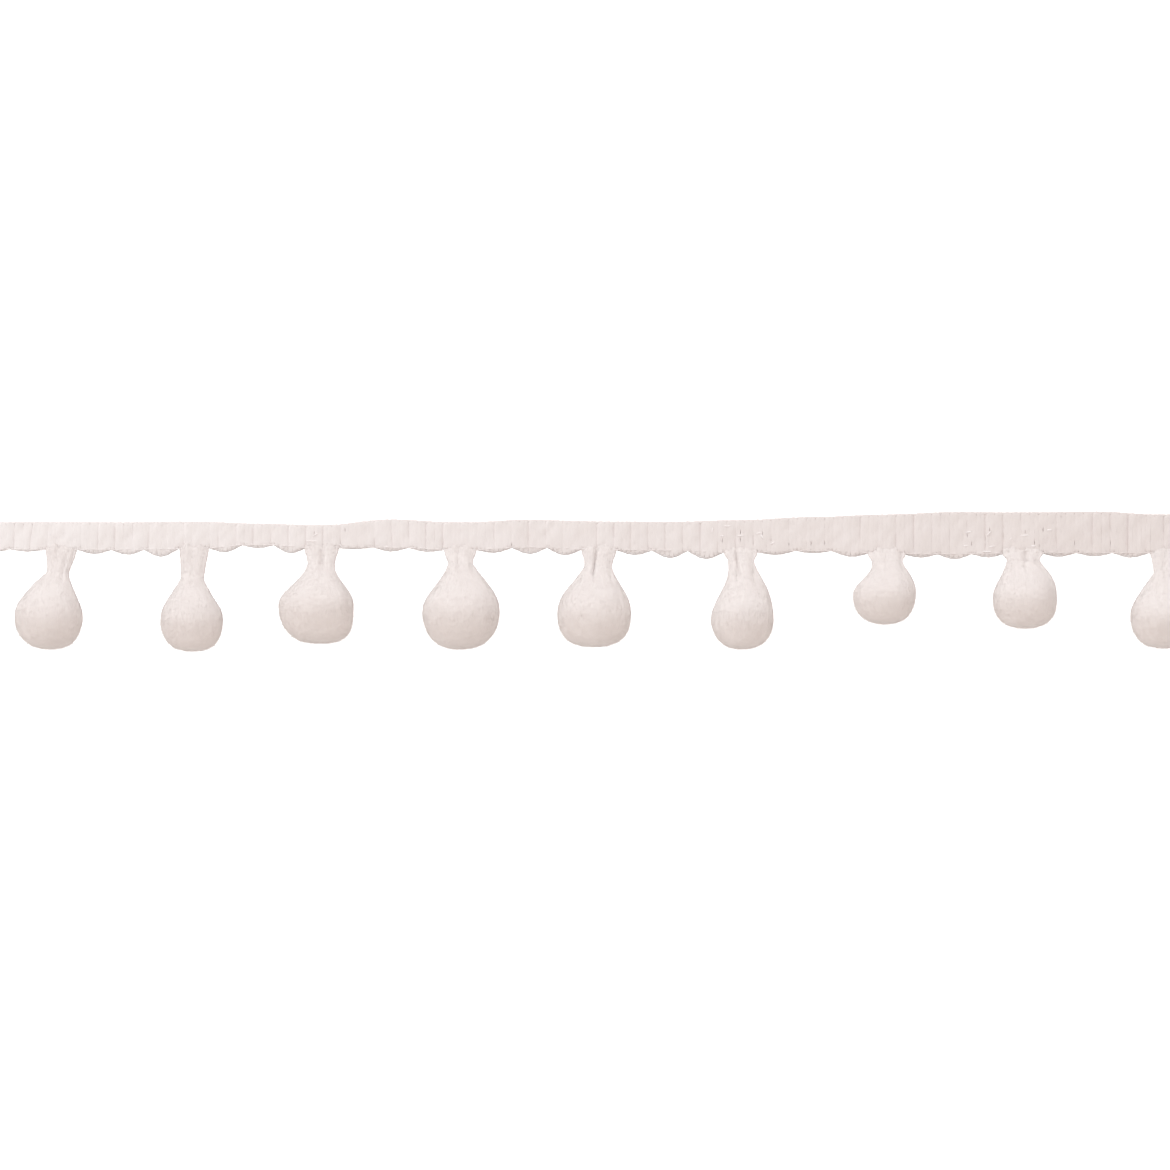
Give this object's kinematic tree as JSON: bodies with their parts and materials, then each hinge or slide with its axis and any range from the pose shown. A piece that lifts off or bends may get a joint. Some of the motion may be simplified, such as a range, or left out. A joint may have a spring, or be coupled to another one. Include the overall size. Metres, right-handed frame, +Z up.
{
  "type": "pompom fringe trim",
  "caption": "Off-white pompom fringe trim: a ribbed, scalloped header tape with soft pear-shaped pompoms on short doubled ties, lying straight and face up.",
  "frame": {"origin": "middle of the trim's footprint, on the surface that it lies on", "axes": "+X along the trim, +Y from the pompoms to the header tape, +Z up out of the trim's face"},
  "size_m": [0.18, 0.0202, 0.011],
  "materials": {
    "tape_yarn": "matt ribbed braid",
    "tie_yarn": "soft lofty strands",
    "pompom_pile": "fine soft pile"
  },
  "bodies": {
    "root": {"header_tape": "tape_yarn", "bobble_1": "pompom_pile", "bobble_2": "pompom_pile", "bobble_3": "pompom_pile", "bobble_4": "pompom_pile", "bobble_5": "pompom_pile", "bobble_6": "pompom_pile", "bobble_7": "pompom_pile", "bobble_8": "pompom_pile", "bobble_9": "pompom_pile", "tie_1": "tie_yarn", "tie_2": "tie_yarn", "tie_3": "tie_yarn", "tie_4": "tie_yarn", "tie_5": "tie_yarn", "tie_6": "tie_yarn", "tie_7": "tie_yarn", "tie_8": "tie_yarn", "tie_9": "tie_yarn"}
  },
  "joints": []
}
